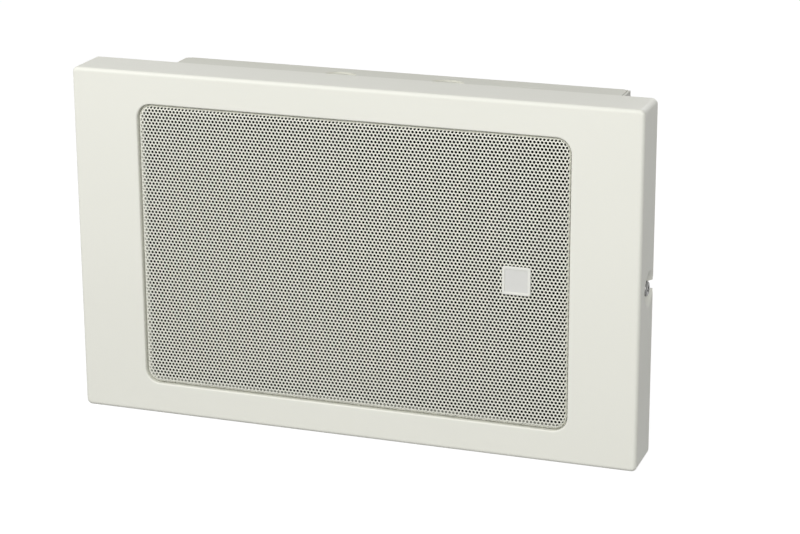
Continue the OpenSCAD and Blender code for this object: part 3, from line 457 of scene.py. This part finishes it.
def slot_of(node):
    for entry in frame["record"]["subparts"]:
        if entry["node"] == node:
            return entry["material_slot"]
    return None


# Front cover: one folded and drawn sheet

def outline_step(inset, depth):
    """Ring that runs inside the cover's outline."""
    return COVER_HALF_W - inset, COVER_HALF_H - inset, COVER_CORNER - inset, depth


def opening_step(outset, depth):
    """Ring that runs outside the cover's opening."""
    return OPENING_HALF_W + outset, OPENING_HALF_H + outset, OPENING_CORNER + outset, depth


def dimple_depth(radius):
    """How far the side is pressed in at a distance from the screw's axis."""
    share = (DIMPLE_RADIUS - radius) / (DIMPLE_RADIUS - DIMPLE_FLOOR)
    share = min(max(share, 0), 1)
    soft = share * share * (3 - 2 * share)
    straight_part, soft_part = 0.55, 0.45
    return DIMPLE_DEPTH * (straight_part * share + soft_part * soft)


def side_wall_faces(bm, side):
    """Faces of one side wall, its inside and its outside."""
    return [f for f in bm.faces
            if abs(f.normal.x) > 0.99 and side * f.calc_center_median().x > COVER_HALF_W - 2 * COVER_SHEET]


def press_dimples(bm):
    """Cuts each side wall into a fine net round its screw and presses it in."""
    past_dimple = 1 * MM
    short_of_rim = 0.4 * MM
    reach = DIMPLE_RADIUS + past_dimple
    half = 12
    across = [((0, 0, SCREW_Z + reach * step / half), (0, 0, 1)) for step in range(-half, half + 1)]
    first_y = SCREW_Y - reach
    last_y = COVER_HIGH.y - short_of_rim
    strips = 22
    along = [((0, first_y + (last_y - first_y) * step / strips, 0), (0, 1, 0)) for step in range(strips + 1)]
    for side in (-1, 1):
        for point, normal in across + along:
            faces = side_wall_faces(bm, side)
            parts = set(faces)
            for face in faces:
                parts.update(face.edges, face.verts)
            bmesh.ops.bisect_plane(bm, geom=list(parts), dist=ON_PLANE, plane_co=point, plane_no=normal)
        for vert in {v for f in side_wall_faces(bm, side) for v in f.verts}:
            vert.co.x -= side * dimple_depth(math.hypot(vert.co.y - SCREW_Y, vert.co.z - SCREW_Z))
    bm.normal_update()


def slot_cutter():
    """Solid of the slot that runs from the screw's axis out through the rim, on both sides."""
    past_cover = 10 * MM
    past_rim = 5 * MM
    bm = bmesh.new()
    made = bmesh.ops.create_cone(bm, cap_ends=True, segments=48, radius1=SLOT_RADIUS, radius2=SLOT_RADIUS,
                                 depth=2 * (COVER_HALF_W + past_cover))
    along_x = Matrix.Rotation(math.radians(90), 3, "Y")
    bmesh.ops.rotate(bm, verts=made["verts"], cent=(0, 0, 0), matrix=along_x)
    far = [v for v in bm.verts if v.co.y > -ON_PLANE]
    bmesh.ops.translate(bm, verts=bm.verts, vec=(0, SCREW_Y, SCREW_Z))
    for vert in far:
        vert.co.y += COVER_HIGH.y - SCREW_Y + past_rim
    bmesh.ops.recalc_face_normals(bm, faces=bm.faces)
    return finish_mesh(bm, "slot_cutter")


def make_front_cover():
    rim_round = 0.2 * MM
    support = 0.4 * MM
    profile = [outline_step(rim_round, COVER_DEPTH),
               outline_step(0, COVER_DEPTH - rim_round),
               outline_step(0, COVER_FOLD + support)]
    profile += [outline_step(inset, depth) for inset, depth in quarter_turn(COVER_FOLD, 8)]
    profile += [outline_step(COVER_FOLD + support, 0), opening_step(OPENING_ROLL + support, 0)]
    profile += [opening_step(outset, depth) for depth, outset in quarter_turn(OPENING_ROLL, 8)]
    profile += [opening_step(0, OPENING_ROLL + support),
                opening_step(0, OPENING_LIP),
                opening_step(COVER_SHEET, OPENING_LIP),
                opening_step(COVER_SHEET, COVER_SHEET),
                outline_step(COVER_FOLD, COVER_SHEET),
                outline_step(COVER_SHEET, COVER_FOLD),
                outline_step(COVER_SHEET, COVER_DEPTH)]
    bm = swept_frame(profile)
    press_dimples(bm)
    piece = finish_mesh(bm, "cover_shell", 40)
    cut_with(piece, slot_cutter())
    piece.data.set_sharp_from_angle(angle=math.radians(40))
    add_to_part(piece, FRONT_PAINT, replaces=["front_cover"])


# Grille: perforated sheet, bent back round its edge

def perforated_strip(bm, first, last, half_h):
    """Flat perforated sheet of whole cells, from one column to another."""
    row_step = HOLE_PITCH * math.sqrt(3) / 2
    tile = bmesh.ops.create_grid(bm, x_segments=1, y_segments=1, size=0.5)["verts"]
    bmesh.ops.scale(bm, vec=(HOLE_PITCH, row_step, 1), verts=tile)
    bmesh.ops.delete(bm, geom=bm.faces[:], context="FACES_ONLY")
    bmesh.ops.subdivide_edges(bm, edges=bm.edges[:], cuts=1)
    bmesh.ops.create_circle(bm, segments=HOLE_SIDES, radius=HOLE_RADIUS)
    bmesh.ops.bridge_loops(bm, edges=bm.edges[:])
    rows = math.ceil(half_h / row_step)
    cell = bm.verts[:] + bm.edges[:] + bm.faces[:]
    for column in range(first, last + 1):
        shift = (column * HOLE_PITCH, 0, 0)
        copy = bmesh.ops.duplicate(bm, geom=cell)["geom"]
        bmesh.ops.translate(bm, vec=shift, verts=[g for g in copy if isinstance(g, bmesh.types.BMVert)])
    bmesh.ops.delete(bm, geom=[g for g in cell if isinstance(g, bmesh.types.BMVert)], context="VERTS")
    line = bm.verts[:] + bm.edges[:] + bm.faces[:]
    for row in range(-rows, rows + 1):
        shift = (HOLE_PITCH / 2 if row % 2 else 0, row * row_step, 0)
        copy = bmesh.ops.duplicate(bm, geom=line)["geom"]
        bmesh.ops.translate(bm, vec=shift, verts=[g for g in copy if isinstance(g, bmesh.types.BMVert)])
    bmesh.ops.delete(bm, geom=[g for g in line if isinstance(g, bmesh.types.BMVert)], context="VERTS")
    bmesh.ops.remove_doubles(bm, verts=bm.verts, dist=0.01 * MM)


def past_bend(x, z):
    """Distance of a point of the flat sheet past the line where the bend starts, and the way out."""
    radius = OPENING_CORNER - GRILLE_GAP - GRILLE_BEND
    over_x = abs(x) - (OPENING_HALF_W - OPENING_CORNER)
    over_z = abs(z) - (OPENING_HALF_H - OPENING_CORNER)
    if over_x > 0 and over_z > 0:
        reach = math.hypot(over_x, over_z)
        return reach - radius, math.copysign(over_x / reach, x), math.copysign(over_z / reach, z)
    if over_x > over_z:
        return over_x - radius, math.copysign(1, x), 0
    return over_z - radius, 0, math.copysign(1, z)


def bend_sheet(bm):
    """Stands the flat sheet up behind the front face and bends its edge back."""
    for vert in bm.verts:
        x, z = vert.co.x, vert.co.y
        over, out_x, out_z = past_bend(x, z)
        depth = 0
        if over > 0:
            angle = min(over / GRILLE_BEND, math.pi / 2)
            along = GRILLE_BEND * math.sin(angle) - over
            depth = GRILLE_BEND * (1 - math.cos(angle)) + max(over - GRILLE_BEND * math.pi / 2, 0)
            x += out_x * along
            z += out_z * along
        vert.co = (x, GRILLE_LOW.y + depth, z)


def make_grille():
    """The perforated face in three pieces side by side, each a light enough mesh."""
    straight = 0.6 * MM
    sheet_past_bend = GRILLE_BEND * math.pi / 2 + straight
    spare_edge = 2 * MM
    half_h = OPENING_HALF_H + spare_edge
    columns = math.ceil((OPENING_HALF_W + spare_edge) / HOLE_PITCH)
    thirds = [(-columns - 1, -columns // 3 - 1), (-columns // 3, columns // 3), (columns // 3 + 1, columns)]
    for name, (first, last) in zip(("left", "middle", "right"), thirds):
        bm = bmesh.new()
        perforated_strip(bm, first, last, half_h)
        spare = [f for f in bm.faces if past_bend(*f.calc_center_median()[:2])[0] > sheet_past_bend]
        bmesh.ops.delete(bm, geom=spare, context="FACES")
        bend_sheet(bm)
        bmesh.ops.recalc_face_normals(bm, faces=bm.faces)
        middle = min(bm.faces, key=lambda f: f.calc_center_median().length)
        if middle.normal.y > 0:
            bmesh.ops.reverse_faces(bm, faces=bm.faces)
        bmesh.ops.solidify(bm, geom=bm.faces[:], thickness=PERFORATED_SHEET)
        piece = finish_mesh(bm, "grille_sheet_" + name, 40)
        add_to_part(piece, GRILLE_PAINT, replaces=["grille"])


def make_grille_skirt():
    """Plain edge of the grille: it goes back from the bend and out behind the cover's lip."""
    below_bend = 0.2 * MM
    inside_face = 0.02 * MM
    top = GRILLE_LOW.y - FRONT_Y + GRILLE_BEND + below_bend
    bottom = GRILLE_HIGH.y - FRONT_Y
    outside = -GRILLE_GAP - inside_face
    inside = -GRILLE_GAP - GRILLE_SHEET
    flange = GRILLE_HIGH.x - OPENING_HALF_W
    bm = swept_frame([opening_step(inside, top),
                      opening_step(outside, top),
                      opening_step(outside, bottom - GRILLE_SHEET),
                      opening_step(flange, bottom - GRILLE_SHEET),
                      opening_step(flange, bottom),
                      opening_step(inside, bottom)])
    piece = finish_mesh(bm, "grille_skirt", 30)
    add_to_part(piece, GRILLE_PAINT, replaces=["grille"])


# Acoustic cloth, stretched behind the grille

def make_cloth():
    behind_front = 0.05 * MM
    thickness = 0.2 * MM
    low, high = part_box("acoustic_cloth")
    bm = bmesh.new()
    grid = bmesh.ops.create_grid(bm, x_segments=60, y_segments=40, size=0.5)["verts"]
    bmesh.ops.scale(bm, vec=(high.x - low.x, high.z - low.z, 1), verts=grid)
    bmesh.ops.rotate(bm, verts=grid, cent=(0, 0, 0), matrix=Matrix.Rotation(math.radians(90), 3, "X"))
    middle = (low + high) / 2
    bmesh.ops.translate(bm, verts=grid, vec=(middle.x, low.y + behind_front, middle.z))
    bmesh.ops.solidify(bm, geom=bm.faces[:], thickness=thickness)
    bmesh.ops.recalc_face_normals(bm, faces=bm.faces)
    piece = finish_mesh(bm, "stretched_cloth")
    add_to_part(piece, MATERIALS["cloth"], replaces=["acoustic_cloth"])


# Badge: a plate with a raised rim round a greyer panel

def make_badge():
    low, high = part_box("badge")
    middle = Vector(((low.x + high.x) / 2, low.y, (low.z + high.z) / 2))
    half_w, half_h = (high.x - low.x) / 2, (high.z - low.z) / 2
    corner = 1 * MM
    edge_round = 0.3 * MM
    rim_w = 1.3 * MM
    panel_depth = 0.35 * MM
    panel_lift = 0.05 * MM
    panel_inset = rim_w + 0.22 * MM
    least_corner = 0.15 * MM
    support = 0.1 * MM
    break_w, break_depth = 0.08 * MM, 0.04 * MM
    slope_w = 0.2 * MM

    def step(inset, depth):
        return half_w - inset, half_h - inset, max(corner - inset, least_corner), depth

    profile = [step(0, high.y - low.y), step(0, edge_round + support)]
    profile += [step(inset, depth) for inset, depth in quarter_turn(edge_round, 4)]
    profile += [step(edge_round + support, 0),
                step(rim_w, 0),
                step(rim_w + break_w, break_depth),
                step(rim_w + slope_w, panel_depth),
                step(rim_w + slope_w + support, panel_depth)]
    piece = finish_mesh(swept_plate(middle, profile), "badge_plate", 30)
    add_to_part(piece, BADGE_PAINT, replaces=["badge"])
    panel = finish_mesh(swept_plate(middle, [step(panel_inset, panel_depth + panel_lift),
                                             step(panel_inset, panel_depth - panel_lift)]), "badge_panel", 30)
    add_to_part(panel, PANEL_PAINT, replaces=["badge"])


# The other nodes keep their own shape; the cone's two springs bend with it

def blend_ring(piece, inner, outer):
    """Bends a ring round the driver's axis: its inside follows the cone and its outside stays still."""
    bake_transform(piece, ENCLOSURE, DIAPHRAGM, (outer, 0, 0), (inner, 0, 0))
    shares = piece.data.attributes["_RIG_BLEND"].data
    for vert, share in zip(piece.data.vertices, shares):
        way_in = (outer - math.hypot(vert.co.x, vert.co.z)) / (outer - inner)
        way_in = min(max(way_in, 0), 1)
        share.value = way_in * way_in * (3 - 2 * way_in)


def make_springs():
    """The surround and the spider, which hold the cone and let it travel."""
    for node, (inner, outer) in {"surround": SURROUND_ROLL, "spider": SPIDER_WAVES}.items():
        slot = slot_of(node)
        piece = smooth_copy(node)
        piece.data.materials.append(MATERIALS[slot])
        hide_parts(node)
        blend_ring(piece, inner, outer)


def dress_nodes(done):
    """Every node that has no piece of its own yet keeps its shape and takes its slot's finish."""
    for node, solid in NODES.items():
        if node in done:
            continue
        slot = slot_of(node)
        add_to_part(smooth_copy(node), MATERIALS[slot], [node], solid["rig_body"])


# Floor, light and camera

def seen_directly(nodes, links):
    """1 for the rays that show the studio to the camera, in a reflection or through glass, otherwise 0."""
    light_path = nodes.new("ShaderNodeLightPath")
    seen = light_path.outputs["Is Camera Ray"]
    for kind in ("Is Glossy Ray", "Is Transmission Ray"):
        either = nodes.new("ShaderNodeMath")
        either.operation = "MAXIMUM"
        links.new(seen, either.inputs[0])
        links.new(light_path.outputs[kind], either.inputs[1])
        seen = either.outputs[0]
    return seen


def make_floor():
    """White floor that still takes the object's shadow."""
    bpy.ops.mesh.primitive_plane_add(size=12, location=(0, 0, -COVER_HALF_H))
    floor = bpy.context.object
    floor.name = "studio_floor"
    material, nodes, links, shader = plain_material("studio_white")
    shader.inputs["Base Color"].default_value = (FLOOR_GREY, FLOOR_GREY, FLOOR_GREY, 1)
    shader.inputs["Roughness"].default_value = 1
    shader.inputs["Specular IOR Level"].default_value = 0
    lift = nodes.new("ShaderNodeMath")
    lift.operation = "MULTIPLY"
    lift.inputs[1].default_value = FLOOR_LIFT
    links.new(seen_directly(nodes, links), lift.inputs[0])
    shader.inputs["Emission Color"].default_value = (1, 1, 1, 1)
    links.new(lift.outputs[0], shader.inputs["Emission Strength"])
    floor.data.materials.append(material)


def make_world():
    """Soft light from all round, pure white where it is seen."""
    world = bpy.data.worlds.new("studio")
    bpy.context.scene.world = world
    world.use_nodes = True
    nodes, links = world.node_tree.nodes, world.node_tree.links
    strength = nodes.new("ShaderNodeMapRange")
    strength.inputs["To Min"].default_value = SURROUNDING_LIGHT
    strength.inputs["To Max"].default_value = 1
    links.new(seen_directly(nodes, links), strength.inputs["Value"])
    background = nodes["Background"]
    background.inputs["Color"].default_value = (1, 1, 1, 1)
    links.new(strength.outputs["Result"], background.inputs["Strength"])


def add_lamp(name, place, size, watts):
    """Round lamp that points at the object and isn't seen itself."""
    lamp = bpy.data.lights.new(name, "AREA")
    lamp.shape = "DISK"
    lamp.size = size
    lamp.energy = watts
    holder = bpy.data.objects.new(name, lamp)
    bpy.context.scene.collection.objects.link(holder)
    holder.location = place
    holder.rotation_euler = (LAMP_AIM - Vector(place)).to_track_quat("-Z", "Y").to_euler()
    holder.visible_camera = False


def add_camera():
    """Camera at the photograph's angle, from a fit of the object's corners in an image of 800 x 534."""
    image_width = 800
    focal_px = 2388.16
    middle_below_axis_px = 40
    yaw, pitch, roll = (math.radians(a) for a in (19.3004, -16.6856, 0.2689))
    place = Vector((415.36, -1192.29, 374.94)) * MM
    camera = bpy.data.cameras.new("camera")
    camera.sensor_width = 36
    camera.lens = focal_px / image_width * camera.sensor_width
    camera.shift_y = -middle_below_axis_px / image_width
    holder = bpy.data.objects.new("camera", camera)
    bpy.context.scene.collection.objects.link(holder)
    turn = (Matrix.Rotation(yaw, 4, "Z") @ Matrix.Rotation(pitch + math.pi / 2, 4, "X")
            @ Matrix.Rotation(-roll, 4, "Z"))
    holder.matrix_world = Matrix.Translation(place) @ turn
    bpy.context.scene.camera = holder


make_front_cover()
make_grille()
make_grille_skirt()
make_cloth()
make_badge()
make_springs()
dress_nodes({"front_cover", "grille", "acoustic_cloth", "badge", "surround", "spider"})
make_floor()
make_world()
add_lamp("left_lamp", (-0.74, -0.8, 0.72), 0.6, 7.25)
add_lamp("right_lamp", (0.54, -1.27, 0.47), 0.8, 10.7)
add_lamp("back_lamp", (0.2, 1.7, 0.3), 0.8, 6)
add_camera()
bpy.context.scene.view_settings.view_transform = "Standard"
